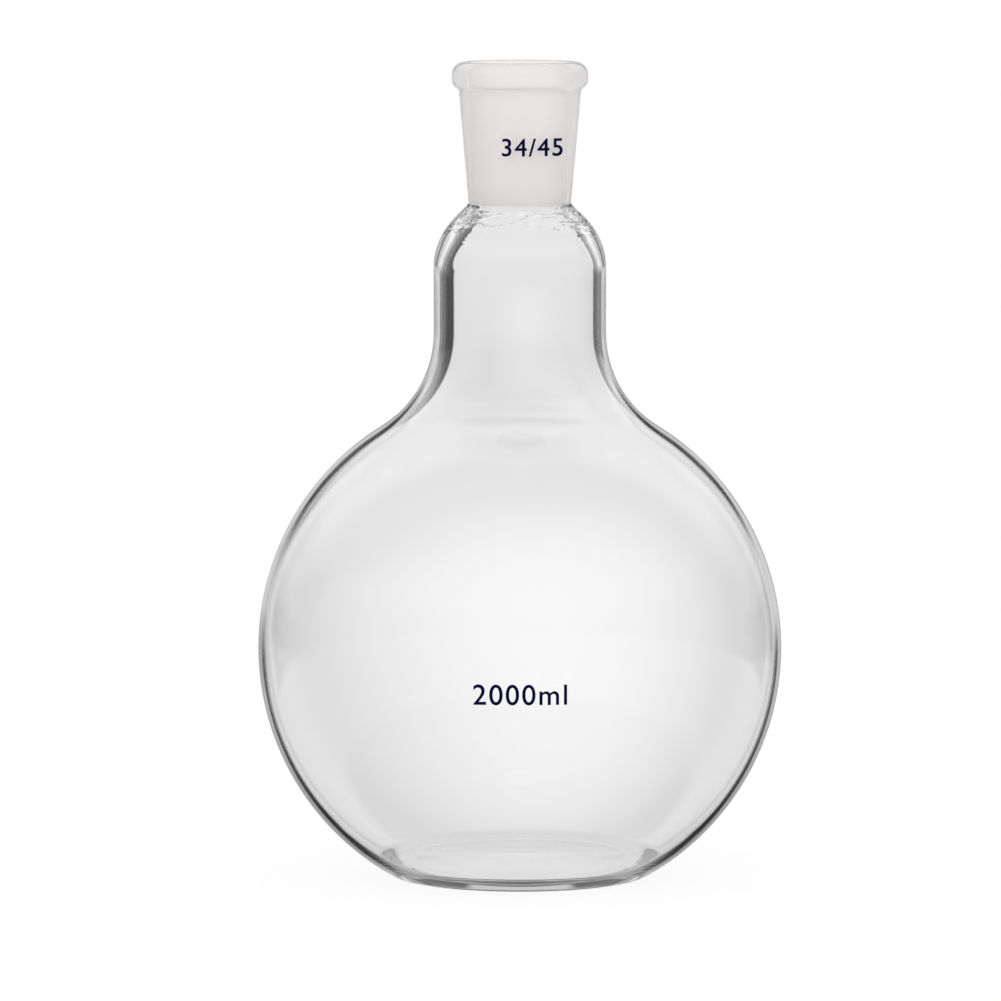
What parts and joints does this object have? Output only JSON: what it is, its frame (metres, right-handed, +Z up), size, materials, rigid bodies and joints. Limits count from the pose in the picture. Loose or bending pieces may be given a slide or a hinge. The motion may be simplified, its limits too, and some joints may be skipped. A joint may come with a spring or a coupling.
{
  "type": "flat bottom flask",
  "caption": "Clear glass boiling flask with a round body on a flat base, a short wide neck and a tapered ground socket with a beaded lip.",
  "frame": {"origin": "on the flask's axis, in the plane of the flat ring that it stands on", "axes": "+Z up along the flask's axis, from the base to the mouth; the flask is turned, so +X and +Y are alike"},
  "size_m": [0.1734, 0.1734, 0.27],
  "materials": {
    "borosilicate_glass": "clear fire-polished, with the socket's bore ground matt",
    "marking_enamel": "fired blue enamel numerals"
  },
  "bodies": {
    "root": {"flask": "borosilicate_glass"}
  },
  "joints": []
}
